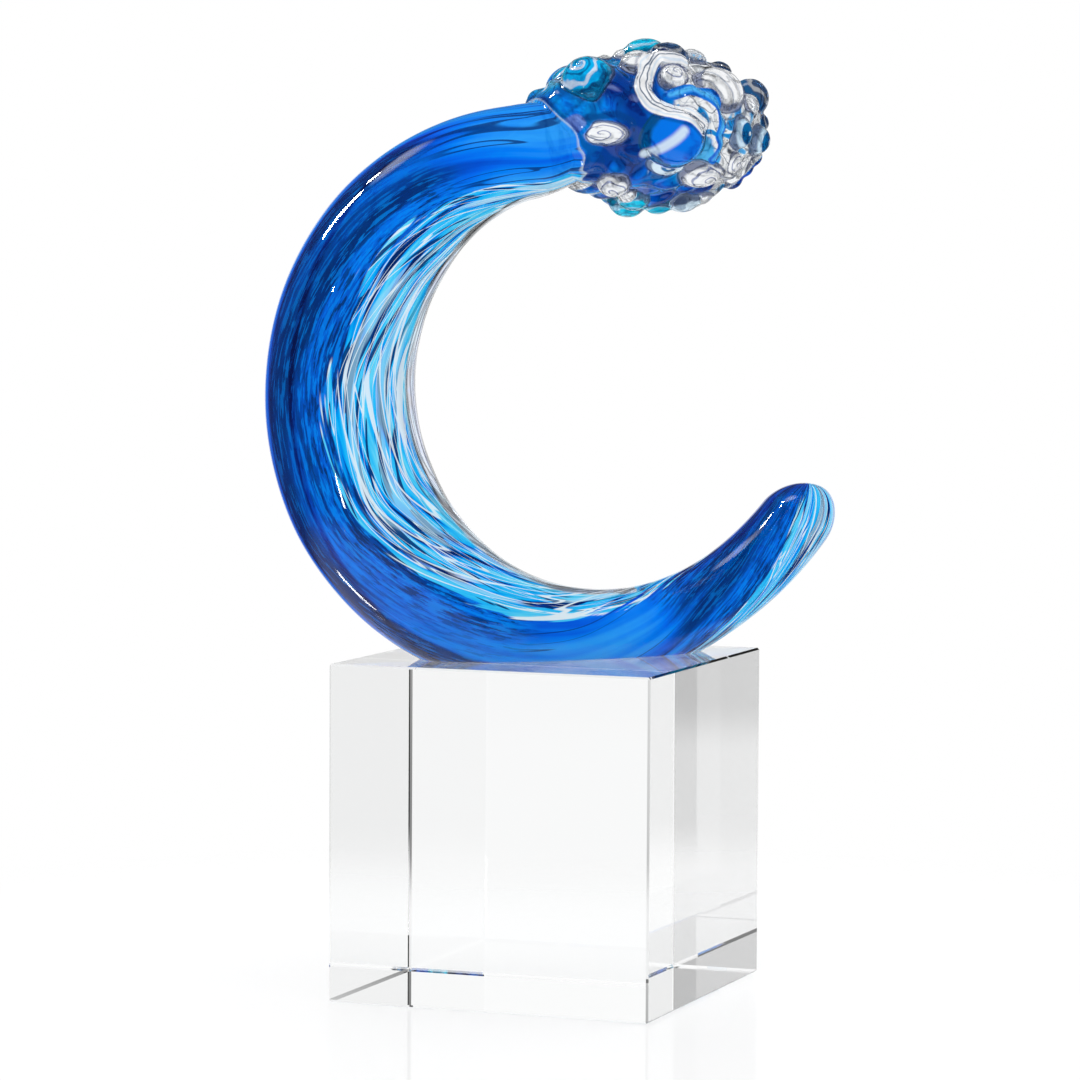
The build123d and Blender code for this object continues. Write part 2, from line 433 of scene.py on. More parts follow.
# Streaks run the length of the curl: their pattern is a noise stretched along it, and a
# thin line is where such a noise passes through its middle value.
def curlColour(tree):
    look = curlLook
    along, turnCos, turnSin = tree.attributes("along", "turnCos", "turnSin")
    edge, glow, pale, inner, outer = tree.attributes("edge", "glow", "pale", "inner", "outer")
    sway = tree.noise(tree.combine(along * 8.0, turnCos * 0.9, turnSin * 0.9), 1.0, detail=1.0) - 0.5

    # family is turn, left or right: straight along the curl, or drifting one way round it
    def stretched(family, length, across, bend=1.0, detail=2.0, roughness=0.5):
        first, second = tree.attributes(family + "Cos", family + "Sin")
        place = tree.combine(along * length, first * across + sway * bend, second * across - sway * bend)
        return tree.noise(place, 1.0, detail, roughness)

    def thinLine(family, length, across, bend, width):
        fromLine = abs(stretched(family, length, across, bend, 1.0) - 0.5) * (1 / width)
        return 1 - fromLine.band(0.4, 1.0)

    flow = stretched("turn", 12.0, 6.0, 2.0)
    broad = stretched("turn", 10.0, 2.6, 1.0)
    leaves = stretched("left", 27.0, 9.0, 2.0)
    slits = stretched("right", 34.0, 12.0, 2.5)
    chatter = stretched("turn", 130.0, 22.0, 3.0, 3.0, 0.6)

    # streaks: cyan leaves, navy slits between them and long pale lines over both
    nearStrip = inner.band(0.02, 0.34)
    streaks = tree.ramp(leaves + (1 - nearStrip) * 0.06, look["streakStops"])
    streaks = tree.blend(slits.band(0.56, 0.58) * (0.25 + nearStrip * 0.7), streaks, look["slit"])
    paleShare = (flow + pale * 0.08).band(0.62, 0.66) * (pale * 0.8 + 0.2)
    streaks = tree.blend(paleShare, streaks, look["paleStreak"])
    line = thinLine("left", 6.0, 5.0, 3.0, 0.017).most(thinLine("right", 7.0, 6.0, 3.0, 0.016))
    line = line.most(thinLine("turn", 9.0, 9.0, 2.0, 0.014))
    streaks = tree.blend(line * (0.75 + pale * 0.25), streaks, look["paleLine"])

    # cobalt: a painted rim of light outside, painted shade in a navy band inside that, then short dark
    # and bright marks
    nearMiddle = edge.band(-0.75, -0.12)
    rimLight = 1 - outer.band(0.28, 0.42)
    shadow = outer.band(0.32, 0.48) * (1 - outer.band(0.55, 1.0))
    calm = glow.band(0.45, 0.75)
    brightness = glow + nearMiddle * (1 - calm) * 0.12 + (broad - 0.5) * 1.8 + (flow - 0.5) * 0.7
    brightness = brightness + rimLight * 0.60 - shadow * (0.26 - calm * 0.14) - 0.04 - (1 - calm) * 0.17
    cobalt = tree.ramp(brightness, look["cobaltStops"])
    rough = (1 - calm) * (0.4 + nearMiddle * 0.6) * (1 - rimLight)
    cobalt = tree.blend(chatter.band(0.53, 0.57) * 0.75 * rough, cobalt, look["brightMark"])
    cobalt = tree.blend((1 - chatter.band(0.43, 0.465)) * 0.9 * rough, cobalt, look["darkMark"])
    cobalt = tree.blend(thinLine("left", 12.0, 4.0, 4.0, 0.026) * calm * 0.85, cobalt, look["darkLine"])
    wander = edge + (broad - 0.5) * 0.5 + (leaves - 0.5) * 0.8
    toStreaks = wander.band(-0.03, 0.02)
    colour = tree.blend(toStreaks, cobalt, streaks)

    # the clear strip, with grey and black threads in it
    clear = 1 - (inner + (flow - 0.5) * 0.3).band(-0.04, 0.04)
    threads = thinLine("turn", 5.0, 7.0, 1.5, 0.08).most(thinLine("left", 6.0, 9.0, 2.0, 0.065))
    colour = tree.blend(clear, colour, tree.blend(threads * 0.9, look["clear"], look["thread"]))
    body = (0.58 + toStreaks * 0.30 + (1 - toStreaks) * calm * 0.25) * (1 - clear)
    return colour, body, clear


# Crest
crest = {
    "centre": np.array([32.6, 0.0, 257.6]) * mm,
    "half": np.array([35.2, 22.0, 22.2]) * mm,
    "rows": 48,
    "columns": 72,
    "collar": np.array([13.6, 0.0, 257.9]) * mm,
    "collarHalf": np.array([22.0, 17.0, 17.0]) * mm,
    "collarBlunt": 0.72,  # 1 is an ellipsoid's end, less is squarer
    "lean": 14.0,  # degrees that the collar's lip leans
    "swell": 0.35 * mm,
    "lump": 1.5 * mm,
    "bodyVoxel": 0.9 * mm,
    "bodySmoothing": 34,
    "voxel": 0.56 * mm,
    "smoothing": 4,
    "lastAngle": 118.0,  # the curl's angle past which nothing is crest
    "skinReach": 1.015,  # half sections from the curl's centre line where crest begins
    "allCrest": 14 * mm,  # from this far behind its centre on, all of it is crest
}

froth = {
    "sink": 0.1 * mm,  # how deep the beads' middles lie under the crest's skin
    "scale": 1.08,
    "height": 0.92,  # a bead's height as a share of its width
    "rows": 24,
    "columns": 36,
    "backCount": 34,
    "backStart": -0.74,  # share along of the first bead of the back, and how far they go on
    "backSpan": 1.64,
}

# share along, angle round from the top to the front, radius in mm, stretch and kind
frontBeads = [
    (-0.70, 29, 7.2, 1.00, "blueSpiral"), (-0.80, 16, 3.4, 1.0, "blueSpiral"),
    (-0.42, -6, 2.0, 1.2, "clear"), (-0.27, -3, 2.4, 1.0, "clear"), (-0.06, 1, 5.0, 1.35, "cyan"),
    (-0.26, 26, 3.8, 1.3, "clear"), (-0.02, 49, 3.9, 1.0, "clearSpiral"), (0.08, 16, 4.6, 1.2, "smoke"),
    (0.33, 12, 3.6, 1.2, "clear"), (0.40, 56, 6.4, 1.25, "ribbed"), (0.62, 8, 3.3, 1.1, "smoke"),
    (0.86, 32, 5.8, 0.9, "smoke"), (0.95, 73, 2.8, 1.0, "smoke"), (0.59, 94, 4.5, 0.75, "darkEye"),
    (0.86, 106, 4.2, 0.9, "darkEye"), (0.89, 143, 3.0, 1.0, "clear"),
    (0.55, 122, 3.2, 1.0, "clearSpiral"), (0.71, 162, 3.2, 1.0, "clear"),
    (0.81, 152, 2.8, 1.0, "clear"), (0.62, 140, 3.0, 1.0, "clear"), (0.44, 171, 3.2, 1.1, "clear"),
    (0.28, 172, 4.0, 1.3, "eye"), (0.06, 178, 3.7, 1.2, "cyan"), (-0.24, 166, 3.8, 1.2, "cyan"),
    (-0.49, 148, 4.2, 1.1, "clearSpiral"), (-0.33, 158, 2.6, 1.1, "clear"),
    (-0.08, 98, 8.0, 1.1, "lobe"), (-0.11, 119, 3.0, 1.8, "eye"), (0.25, 129, 4.0, 1.7, "clearSpiral"),
    (-0.67, 96, 3.1, 2.2, "clearSpiral"), (0.74, 62, 3.4, 1.0, "clear"),
]

# colour of each kind, how much of an eye, a spiral or ribs it shows, and how milky it is
beadKinds = {
    "clear": (0.92, 0.96, 1.0, 0.0, 0.0, 0.0, 0.15),
    "clearSpiral": (0.93, 0.96, 1.0, 0.0, 1.0, 0.0, 0.30),
    "eye": (0.60, 0.82, 1.0, 1.0, 0.0, 0.0, 0.35),
    "smoke": (0.004, 0.014, 0.055, 0.8, 0.4, 0.0, 0.40),
    "cyan": (0.0, 0.56, 0.95, 0.4, 0.5, 0.0, 0.45),
    "blueSpiral": (0.0, 0.36, 0.92, 0.0, 1.0, 0.0, 0.50),
    "darkEye": (0.50, 0.74, 0.95, 1.6, 0.0, 0.0, 0.45),
    "ribbed": (0.95, 0.97, 1.0, 0.0, 0.0, 1.0, 0.30),
    "lobe": (0.0, 0.10, 0.80, 0.0, 0.0, 0.0, 0.62),
}
kindFields = ("beadRed", "beadGreen", "beadBlue", "beadEye", "beadSpiral", "beadRibs", "beadMilk")
clearBackKinds = ["clear", "clearSpiral", "eye", "smoke"]
blueBackKinds = ["cyan", "blueSpiral", "lobe", "cyan"]

# Ribbons of glass laid on the crest, and two flat bands of painted shadow: points of the
# line (share along, angle round), half width and height in mm
ribbons = {
    "whiteRibbon": ([
        (0.10, 36), (0.02, 33), (-0.10, 29), (-0.24, 40), (-0.32, 58), (-0.27, 73), (-0.12, 78),
        (0.03, 81), (0.14, 90)], 2.9, 3.2),
    "blueRibbon": ([
        (-0.10, 64), (0.06, 62), (0.20, 66), (0.29, 75), (0.34, 88), (0.35, 101), (0.30, 115)], 1.9, 1.6),
    "paleRibbon": ([(-0.33, 112), (-0.22, 104), (-0.12, 97), (-0.06, 92)], 1.5, 0.0),
    "navyRibbon": ([(-0.74, 80), (-0.55, 78), (-0.42, 86), (-0.42, 97), (-0.55, 104)], 1.7, 0.0),
    "darkRibbon": ([(0.12, 92), (0.13, 103), (0.08, 113), (-0.06, 127), (-0.20, 128)], 1.8, 0.0),
}

crestLook = {
    "blueStops": [
        (0.36, (0.0, 0.008, 0.20)),
        (0.40, (0.0, 0.05, 0.60)),
        (0.46, (0.0, 0.14, 0.90)),
        (0.55, (0.0, 0.25, 0.98)),
        (0.63, (0.02, 0.42, 1.0)),
    ],
    "vein": (0.0, 0.010, 0.15),
    "paintedSheen": (0.13, 0.22, 0.62),
    "lipShadow": (0.0, 0.015, 0.22),
    "lipHighlight": (0.55, 0.66, 0.70),
    "clearStops": [
        (0.31, (0.0, 0.12, 0.55)),
        (0.35, (0.04, 0.38, 0.88)),
        (0.375, (0.90, 0.95, 0.98)),
        (0.64, (0.96, 0.98, 1.0)),
        (0.67, (0.10, 0.14, 0.20)),
        (0.73, (0.02, 0.04, 0.10)),
    ],
    "thread": (0.03, 0.05, 0.10),
    "fineThread": (0.10, 0.16, 0.26),
    "navyRibbon": (0.0, 0.010, 0.16),
    "darkRibbon": (0.0, 0.008, 0.11),
    "paleRibbon": (0.62, 0.80, 0.95),
    "blueRibbon": ((0.0, 0.08, 0.70), (0.02, 0.36, 1.0)),
    "whiteRibbon": (0.97, 0.98, 1.0),
    "ribbonFoldShades": ((0.16, 0.24, 0.36), (0.01, 0.03, 0.08), (0.40, 0.66, 0.92)),
    "ribbonShadow": (0.0, 0.015, 0.14),
    "spiral": ((0.0, 0.04, 0.24), (0.93, 0.97, 1.0)),
    "rib": (0.03, 0.09, 0.22),
    "pupil": (0.0, 0.04, 0.22),
    "glint": (0.70, 0.85, 0.95),
    "beadRimShade": (0.0, 0.02, 0.12),
    "creaseShade": (0.0, 0.015, 0.09),
}


# Points of a unit ball in latitude and longitude, from its +X to its -X end, which come last.
def unitBall(rows, columns):
    lat = np.linspace(0, math.pi, rows + 2)[1:-1]
    lon = np.linspace(0, 2 * math.pi, columns, endpoint=False)
    ring = np.sin(lat)[:, None]
    ball = np.stack([np.cos(lat)[:, None] * np.ones(columns), ring * np.cos(lon), ring * np.sin(lon)], -1)
    return np.concatenate([ball.reshape(-1, 3), [[1, 0, 0], [-1, 0, 0]]])


# The way out of the unit ball at a share along and an angle round.
def ballPlace(share, around):
    ring = np.sqrt(1 - share**2)
    return np.stack([share, -ring * np.sin(around), ring * np.cos(around)], -1)


# Each point's distance from a ribbon's line over the crest, in half widths of the ribbon.
def ribbonReach(points, line, halfWidth):
    share, around = np.array(line, dtype=float).T
    fine = np.linspace(0, len(line) - 1, 90)
    rows = np.arange(len(line))
    share, around = (smoothed(np.interp(fine, rows, v), 13) for v in (share, np.radians(around)))
    unit = (points - crest["centre"]) / crest["half"]
    unit /= np.linalg.norm(unit, axis=1, keepdims=True)
    reach = np.full(len(points), 9.0)
    for place in ballPlace(share, around):
        reach = np.minimum(reach, np.linalg.norm((unit - place) * crest["half"], axis=1))
    return np.minimum(reach / (halfWidth * mm), 2.0)


# Centres, axes, half sizes and kinds of the froth beads: the ones seen from the front, then
# a spiral of them over the back, each a golden angle further round.
def beadPlaces():
    rows = list(frontBeads)
    count = froth["backCount"]
    for i in range(count):
        share = froth["backStart"] + froth["backSpan"] * i / (count - 1)
        around = 195 + (i * 137.5) % 150
        kinds = clearBackKinds if share > 0.1 else blueBackKinds
        rows.append((share, around, 2.6 + 3.0 * ((i * 7) % 5) / 4, 1.0 + 0.15 * (i % 3), kinds[i % 4]))
    share, around, radius, stretch = np.array([row[:4] for row in rows], dtype=float).T
    around = np.radians(around)
    ring = np.sqrt(1 - share**2)
    unit = ballPlace(share, around)
    centres = crest["centre"] + unit * (crest["half"] - froth["sink"])
    outward = unit / crest["half"]
    outward /= np.linalg.norm(outward, axis=1, keepdims=True)
    lengthwise = np.stack([ring, share * np.sin(around), -share * np.cos(around)], -1)
    lengthwise -= (lengthwise * outward).sum(1, keepdims=True) * outward
    lengthwise /= np.linalg.norm(lengthwise, axis=1, keepdims=True)
    axes = np.stack([lengthwise, np.cross(outward, lengthwise), outward], 1)
    shape = np.stack([stretch, np.ones(len(rows)), np.full(len(rows), froth["height"])], -1)
    return centres, axes, froth["scale"] * radius[:, None] * mm * shape, [row[4] for row in rows]


# The joined shapes as one closed skin of quads.
def remeshed(points, faces, voxel):
    piece = newPiece("joined", points, faces)
    modifier = piece.modifiers.new("skin", "REMESH")
    modifier.mode = "VOXEL"
    modifier.voxel_size = voxel
    skin = finishedMesh(piece)
    bpy.data.objects.remove(piece)
    quads = meshArray(skin.loops, "vertex_index", 1, int).reshape(-1, 4)
    return meshArray(skin.vertices, "co", 3), quads, meshArray(skin.edges, "vertices", 2, int)


# Each point moved half of the way to the average of its neighbours, some rounds over.
def relaxed(points, edges, rounds):
    counts = np.bincount(edges.reshape(-1), minlength=len(points))[:, None]
    for _ in range(rounds):
        total = np.zeros_like(points)
        np.add.at(total, edges[:, 0], points[edges[:, 1]])
        np.add.at(total, edges[:, 1], points[edges[:, 0]])
        points = points + 0.5 * (total / counts - points)
    return points


# Points turned about the Y line through a centre: what they lie off it times a turning matrix.
def turnedY(points, centre, degrees):
    c, s = math.cos(math.radians(degrees)), math.sin(math.radians(degrees))
    turn = np.array([[c, 0, -s], [0, 1, 0], [s, 0, c]])
    return (points - centre) @ turn + centre


# Lumps of hot glass: sines of the place in three slanting directions, each bent by the
# one before, so that none of them repeats.
def lumpHeight(points):
    x, y, z = (points / mm).T
    first = np.sin(0.31 * x + 0.17 * z + 1.3)
    second = np.sin(0.27 * y - 0.29 * z + 0.9 * first + 0.4)
    third = np.sin(0.38 * z + 0.21 * x - 0.24 * y + 1.1 * second)
    fourth = np.sin(0.62 * x - 0.5 * z + 0.45 * y + 1.4 * third + 2.0)
    return 0.45 * first + 0.5 * second + 0.5 * third + 0.3 * fourth


# The gather and its leaning collar under one smooth skin, moved outwards by the lumps and
# by the ribbons, each a half ellipse in section.
def crestSkin():
    centre, half = crest["centre"], crest["half"]
    ball, faces = (make(crest["rows"], crest["columns"]) for make in (unitBall, tubeFaces))
    gather = ball * half + centre
    ball[:, 0] = np.sign(ball[:, 0]) * np.abs(ball[:, 0]) ** crest["collarBlunt"]
    collar = turnedY(ball * crest["collarHalf"] + crest["collar"], crest["collar"], -crest["lean"])
    points, quads, edges = remeshed(*together((gather, *faces), (collar, *faces)), crest["bodyVoxel"])
    points = relaxed(points, edges, crest["bodySmoothing"])
    outward = (points - centre) / half**2
    outward /= np.linalg.norm(outward, axis=1, keepdims=True)
    height = crest["swell"] + crest["lump"] * lumpHeight(points)
    for line, halfWidth, ridge in ribbons.values():
        height += ridge * mm * np.sqrt(1 - np.minimum(ribbonReach(points, line, halfWidth), 1) ** 2)
    return points + outward * height[:, None], quads


# The nearest bead to each point: how far the point is on it (1 to 1.04 of its half sizes,
# 0 from 1.16), where on it (lengthwise and across, in half sizes), and that bead's look.
# Then how far each ribbon is.
def crestFields(points, centres, axes, halves, kinds):
    local = np.einsum("pbk,bjk->pbj", points[:, None, :] - centres[None], axes) / halves[None]
    reach = np.linalg.norm(local, axis=2)
    nearest = reach.argmin(1)
    rows = np.arange(len(points))
    fields = dict(zip(kindFields, np.array([beadKinds[kind] for kind in kinds])[nearest].T))
    fields["bead"] = np.clip((1.16 - reach[rows, nearest]) / 0.12, 0, 1)
    fields["beadU"] = local[rows, nearest, 0]
    fields["beadV"] = local[rows, nearest, 1]
    for name, (line, halfWidth, _) in ribbons.items():
        fields[name] = ribbonReach(points, line, halfWidth)
    return fields


# The whole wave as one glass: the froth beads joined to the crest's body, and that to the curl.
def makeWave(material):
    beads = beadPlaces()
    bead, faces = (make(froth["rows"], froth["columns"]) for make in (unitBall, tubeFaces))
    shapes = [(centre + (bead * size) @ axis, *faces) for centre, axis, size, _ in zip(*beads)]
    points, quads, edges = remeshed(*together(crestSkin(), *shapes), crest["voxel"])
    points = relaxed(points, edges, crest["smoothing"])
    skin = newPiece("froth_skin", points, quads.tolist(), material)

    wave = newPiece("wave_glass", *curlShape(), material)
    joining = wave.modifiers.new("join", "BOOLEAN")
    joining.operation, joining.object, joining.solver = "UNION", skin, "EXACT"
    joined = finishedMesh(wave)
    wave.modifiers.clear()
    wave.data = joined
    wave.data.name = "wave_glass"
    bpy.data.objects.remove(skin)
    smoothShaded(joined)

    points = meshArray(joined.vertices, "co", 3)
    fields = curlFields(points)
    onCrest = np.flatnonzero(fields["crest"] > 0)
    for name, values in crestFields(points[onCrest], *beads).items():
        fields[name] = np.full(len(points), 2.0 if name in ribbons else 0.0)
        fields[name][onCrest] = values
    share = (points - crest["centre"]) / crest["half"]
    fields["cobalt"] = 0.16 - share[:, 0] - 0.42 * share[:, 2]  # above 0 behind a slanting plane
    setFields(joined, fields)
    return wave


# Cobalt behind, clear in front of a slanting edge that is torn into ribbons, and on it the
# beads, some with a dark middle and some with a spiral of pale thread.
def crestColour(tree):
    look = crestLook
    place = tree.objectPlace()
    patch = tree.noise(place, 40.0, detail=1.0, distortion=0.9)
    torn = tree.noise(place, 62.0, detail=2.0, distortion=1.6)
    ribbon = tree.noise(place, 58.0, detail=1.0, distortion=2.4)
    cobalt, lip, isCrest, isBead, milk = tree.attributes("cobalt", "lip", "crest", "bead", "beadMilk")
    inCobalt = (cobalt + (torn - 0.5) * 0.45 + (ribbon - 0.5) * 0.3).band(-0.03, 0.05)

    # a thread is where a twisted noise passes through its middle value
    def fromThread(scale, detail, distortion, thinness):
        return abs(tree.noise(place, scale, detail=detail, distortion=distortion) - 0.5) * thinness

    def onRibbon(name, start=0.78, end=0.95):
        return 1 - tree.attribute(name).band(start, end)

    blue = tree.ramp(patch, look["blueStops"])
    vein = fromThread(38.0, 1.0, 2.2, 7.0)
    blue = tree.blend((1 - vein.band(0.05, 0.9)) * 0.6, blue, look["vein"])
    # painted reflection: soft lavender patches over the cobalt
    paintedSheen = tree.noise(place, 34.0, detail=1.0, distortion=1.5)
    blue = tree.blend(paintedSheen.band(0.56, 0.60) * 0.55, blue, look["paintedSheen"])
    underLip = lip.band(1.06, 1.09) * (1 - lip.band(1.11, 1.17))
    blue = tree.blend(underLip * 0.8, blue, look["lipShadow"])
    clear = tree.ramp(ribbon, look["clearStops"])
    thread = fromThread(75.0, 0.0, 2.2, 22.0)
    clear = tree.blend((1 - thread.band(0.25, 0.9)) * 0.85, clear, look["thread"])
    fine = fromThread(120.0, 0.0, 2.6, 24.0)
    clear = tree.blend((1 - fine.band(0.2, 0.8)) * 0.6, clear, look["fineThread"])
    colour = tree.blend(inCobalt, clear, blue)
    # painted shadow: flat navy bands beside an eye and the lobe
    for name in ("navyRibbon", "darkRibbon"):
        colour = tree.blend(onRibbon(name, 0.3, 1.0) * 0.85, colour, look[name])

    # beads: a spiral or ribs of thread, an eye with a glint in it, a dark edge of painted shade, and
    # painted shade in the crease round it
    beadU, beadV = tree.attributes("beadU", "beadV")
    isSpiral, isEye, isRibbed = tree.attributes("beadSpiral", "beadEye", "beadRibs")
    fromMiddle = (beadU * beadU + beadV * beadV) ** 0.5
    wobble = tree.noise(place, 200.0, detail=1.0) - 0.5
    bead = tree.combine(*tree.attributes("beadRed", "beadGreen", "beadBlue"))
    rings = ((fromMiddle + wobble * 0.5) * 13.0 + beadV.math("ARCTAN2", beadU)).sine()
    bead = tree.blend(isSpiral * (1 - rings.band(-0.95, -0.75)) * 0.8, bead, look["spiral"][0])
    bead = tree.blend(isSpiral * rings.band(0.5, 0.9) * 0.6, bead, look["spiral"][1])
    ribs = (beadU * 13.0 + beadV * 9.0 + wobble * 2.0).sine()
    bead = tree.blend(isRibbed * ribs.band(0.7, 0.95) * 0.6, bead, look["rib"])
    larger = isEye.most(1.0) * 0.5 - 0.5  # how much larger a dark eye's pupil is
    pupil = 1 - (fromMiddle + wobble * 0.35 - larger).band(0.34, 0.44)
    bead = tree.blend(isEye * pupil, bead, look["pupil"])
    glint = 1 - (fromMiddle + wobble * 0.3).band(0.10, 0.18)
    bead = tree.blend(isEye * glint * 0.8, bead, look["glint"])
    # painted shade: a dark edge round each bead
    bead = tree.blend((fromMiddle + wobble * 0.25).band(0.86, 0.96) * 0.9, bead, look["beadRimShade"])
    colour = tree.blend(isBead, colour, bead)
    # painted shade in the crease where each bead meets the crest
    creaseShade = isBead.band(0.02, 0.35) * (1 - isBead.band(0.6, 0.95))
    colour = tree.blend(creaseShade * 0.85, colour, look["creaseShade"])

    # ribbons laid over all that: a white one with painted shade on the folds along it, an azure one, a
    # frayed one
    across = tree.attribute("whiteRibbon")
    foldWave = (across * 8.0 + (torn - 0.5) * 8.0).sine()
    folds, blackFolds, blueFolds = look["ribbonFoldShades"]
    # painted shade: grey, black and blue stripes stand in for the shading of the white ribbon's folds
    white = tree.blend(foldWave.band(0.70, 0.93) * 0.7, look["whiteRibbon"], folds)
    white = tree.blend(foldWave.band(0.95, 0.99) * 0.95, white, blackFolds)
    white = tree.blend((1 - foldWave.band(-0.95, -0.6)) * 0.4, white, blueFolds)
    onWhite = onRibbon("whiteRibbon")
    beside = across.band(0.85, 1.0) * (1 - across.band(1.05, 1.3))
    colour = tree.blend(beside * 0.6, colour, look["ribbonShadow"])
    colour = tree.blend(onWhite, colour, white)
    azure = tree.blend(onRibbon("blueRibbon", 0.1, 0.6), *look["blueRibbon"])
    colour = tree.blend(onRibbon("blueRibbon"), colour, azure)
    frayed = onRibbon("paleRibbon", 0.3, 1.1) * torn.band(0.36, 0.50)
    colour = tree.blend(frayed * 0.9, colour, look["paleRibbon"])

    # a painted highlight: a pale line along the lip where the crest laps over the curl
    lipHighlightMask = isCrest.band(0.05, 0.3) * (1 - isCrest.band(0.7, 0.95))
    colour = tree.blend(lipHighlightMask * 0.8, colour, look["lipHighlight"])
    body = (inCobalt * 0.55 + (1 - inCobalt) * 0.42) * (1 - isBead) + isBead * milk
    relief = isBead * (isSpiral * rings + isRibbed * ribs) * 0.5 + onWhite * foldWave * 0.5
    return colour, body.most(onWhite * 0.72), 1 - inCobalt, relief


glassLook = {
    "ior": 1.5,
    "enamelGloss": 0.2,
    "bumpStrength": 0.35,
    "bumpDistance": 0.0012,
    "curlRipple": 0.14,
    "crestFolds": (0.2, 0.7),  # height of the folds, and what the clear part adds to it
    "crestRelief": 0.35,
    "opaqueEdge": 0.30,
}


# Glass, mixed with a share of glossy enamel in the colour, as streaky glass is where it
# holds many threads. Towards its edges the glass shows alone.
def waveGlass():
    look = glassLook
    material, tree = newMaterial("wave_glass")
    isCrest, along, turnCos, turnSin = tree.attributes("crest", "along", "turnCos", "turnSin")
    curlTint, curlBody, curlClear = curlColour(tree)
    crestTint, crestBody, crestClear, relief = crestColour(tree)
    colour = tree.blend(isCrest, curlTint, crestTint)
    ripple = tree.noise(tree.combine(along * 26.0, turnCos * 3.0, turnSin * 3.0), 1.0)
    folds = tree.noise(tree.objectPlace(), 85.0, detail=1.0, distortion=1.8)
    base, onClear = look["crestFolds"]
    crestHeight = folds * (base + crestClear * onClear) + relief * look["crestRelief"]
    height = ripple * (1 - isCrest) * look["curlRipple"] + isCrest * crestHeight
    bump = tree.add("ShaderNodeBump", None, {
        "Strength": look["bumpStrength"], "Distance": look["bumpDistance"], "Height": height})
    # the colour lies under the skin, so a ray on its way out of the crest doesn't meet it
    # again, and out of the curl it meets half of it
    leaving = tree.add("ShaderNodeNewGeometry", output="Backfacing")
    glassTint = tree.blend(leaving * (0.5 + isCrest * 0.5), colour, (1.0, 1.0, 1.0))
    glass = glassShader(tree, glassTint, look["ior"], bump)
    enamel = tree.add("ShaderNodeBsdfPrincipled", None, {
        "Base Color": colour, "Roughness": 0.0, "IOR": look["ior"],
        "Specular IOR Level": look["enamelGloss"], "Normal": bump})
    facing = tree.add("ShaderNodeLayerWeight", None, {"Blend": 0.5}, output="Facing")
    body = curlBody * (1 - isCrest) + crestBody * isCrest
    # the curl's cobalt and streaks hide the far side of the glass at its edges too
    opaque = (1 - isCrest) * (1 - curlClear)
    share = body * (1 - facing.band(0.45, 0.70) * (1 - opaque))
    share = share + opaque * facing.band(0.40, 0.70) * look["opaqueEdge"]
    surfaceOutput(tree, tree.add("ShaderNodeMixShader", None, [share * (1 - leaving), glass, enamel]))
    return material


# Cube
cubeLook = {
    "ior": 1.52,
    "hazeScale": 8.0,
    "hazeStops": [(0.0, (0.985, 0.992, 0.992)), (1.0, (0.995, 1.0, 1.0))],
}


# Clear crystal, with the faintest drift in its colour.
def crystal():
    material, tree = newMaterial("clear_crystal")
    haze = tree.noise(tree.objectPlace(), cubeLook["hazeScale"])
    surfaceOutput(tree, glassShader(tree, tree.ramp(haze, cubeLook["hazeStops"]), cubeLook["ior"]))
    return material


# Floor
stage = {
    "floorDrop": 0.3 * mm,
    "floorRadius": 0.60,
    "floorCorners": 96,
    "floorGlow": 0.74,
    "floorAlbedo": (0.30, 0.30, 0.30, 1),
    "hiddenAlbedo": (0.8, 0.8, 0.8, 1),  # of the floor as light bounces off it
    "mirrorShare": 0.14,
    "mirrorRoughness": 0.06,
    "fadeStart": 0.17,
    "fadeEnd": 0.32,
}


# A matt floor with a glow and a little mirror, which fades to nothing outwards. Light that
# bounces off it meets a plain matt one.
def floorMaterial():
    material, tree = newMaterial("pale_floor")
    white = (1, 1, 1, 1)
    seen = tree.ray("Is Camera Ray").most(tree.ray("Is Glossy Ray")).most(tree.ray("Is Transmission Ray"))
    glow = tree.add("ShaderNodeEmission", None, {"Color": white, "Strength": stage["floorGlow"]})
    matt = tree.add("ShaderNodeBsdfDiffuse", None, {"Color": stage["floorAlbedo"]})
    shown = tree.add("ShaderNodeAddShader", None, [glow, matt])
    mirror = tree.add("ShaderNodeBsdfGlossy", None, {
        "Color": white, "Roughness": stage["mirrorRoughness"]})
    shown = tree.add("ShaderNodeMixShader", None, [stage["mirrorShare"], shown, mirror])
    plain = tree.add("ShaderNodeBsdfDiffuse", None, {"Color": stage["hiddenAlbedo"]})
    shown = tree.add("ShaderNodeMixShader", None, [seen, plain, shown])
    spread = tree.add("ShaderNodeVectorMath", {"operation": "LENGTH"}, [tree.objectPlace()], "Value")
    far = spread.band(stage["fadeStart"], stage["fadeEnd"])
    nothing = tree.add("ShaderNodeBsdfTransparent")
    surfaceOutput(tree, tree.add("ShaderNodeMixShader", None, [far, shown, nothing]))
    return material


# A round floor that fades out into the white world round it.
def makeFloor():
    corners, radius = stage["floorCorners"], stage["floorRadius"]
    turn = np.linspace(0, 2 * math.pi, corners, endpoint=False)
    level = np.full(corners, float(cubeLow[2]) - stage["floorDrop"])
    points = np.stack([radius * np.cos(turn), radius * np.sin(turn), level], -1)
    newPiece("floor", points, [list(range(corners))], floorMaterial())


# Camera
camera = {
    "place": np.array([-564.8, -1261.6, 234.0]) * mm,
    "yaw": -24.0,
    "pitch": 4.11,
    "roll": 0.29,
    "film": 36,
    "lens": 4634 / 1080 * 36,  # 4634 pixels of the photograph's 1080, on that film
}


